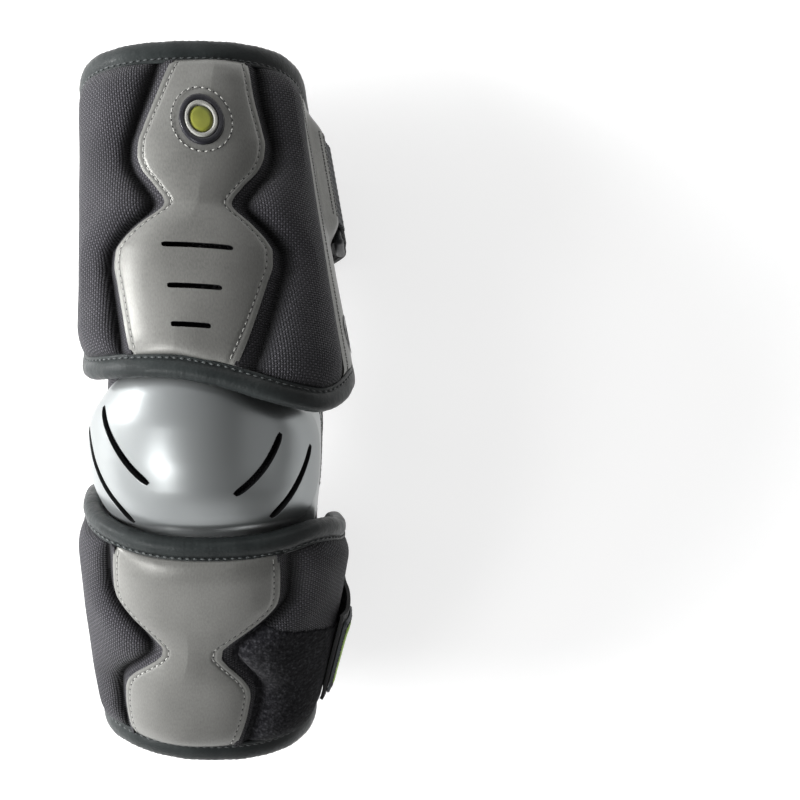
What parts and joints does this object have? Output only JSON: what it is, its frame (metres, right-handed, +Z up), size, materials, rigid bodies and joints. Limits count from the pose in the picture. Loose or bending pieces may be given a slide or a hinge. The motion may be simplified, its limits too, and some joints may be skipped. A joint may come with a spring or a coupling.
{
  "type": "lacrosse elbow pad",
  "caption": "Padded lacrosse elbow pad: upper and lower arm guards with rolled edges, a moulded slotted elbow cap, an inner stretch sleeve and wrap-round straps.",
  "frame": {"origin": "middle of the bounding box, on the surface that the two straps lie on", "axes": "+X towards the strap slider and the pull tab, +Y up the arm from the elbow, +Z up through the elbow cap"},
  "size_m": [0.1254, 0.3348, 0.1497],
  "materials": {
    "padding_mesh": "dark knitted mesh over foam",
    "woven_nylon": "charcoal plain-weave nylon over foam",
    "silver_leather": "silver-grey coated synthetic leather",
    "edge_vinyl": "dark grey-green vinyl, rolled over the edge and stitched",
    "cap_shell": "satin metallic grey moulding",
    "stretch_knit": "black stretch knit",
    "elastic_web": "near-black ribbed woven elastic",
    "nylon_webbing": "black basket-weave webbing",
    "loop_pile": "dark fuzzy loop pile",
    "slider_plastic": "black moulded plastic",
    "patch_rubber": "dark moulded rubber",
    "patch_frame": "lime moulded rubber",
    "badge_gloss": "black gloss boss"
  },
  "bodies": {
    "root": {"upper_base": "padding_mesh", "lower_base": "padding_mesh", "upper_binding": "edge_vinyl", "lower_binding": "edge_vinyl", "elbow_binding_left": "edge_vinyl", "elbow_binding_right": "edge_vinyl", "upper_overlay": "silver_leather", "lower_overlay": "silver_leather", "upper_wing_left": "silver_leather", "upper_wing_right": "silver_leather", "upper_cheek_left": "woven_nylon", "upper_cheek_right": "woven_nylon", "lower_cheek_left": "woven_nylon", "lower_cheek_right": "woven_nylon", "lower_rib_left": "woven_nylon", "lower_rib_right": "woven_nylon", "lower_wing_left": "woven_nylon", "elbow_liner": "woven_nylon", "lower_loop_rear": "loop_pile", "lower_loop_front": "loop_pile", "badge": "badge_gloss", "elbow_cap": "cap_shell", "inner_sleeve": "stretch_knit", "webbing_tab": "nylon_webbing", "strap_slider": "slider_plastic", "upper_strap": "elastic_web", "lower_strap": "elastic_web", "strap_patch": "patch_rubber", "patch_inlay": "patch_frame"}
  },
  "joints": []
}
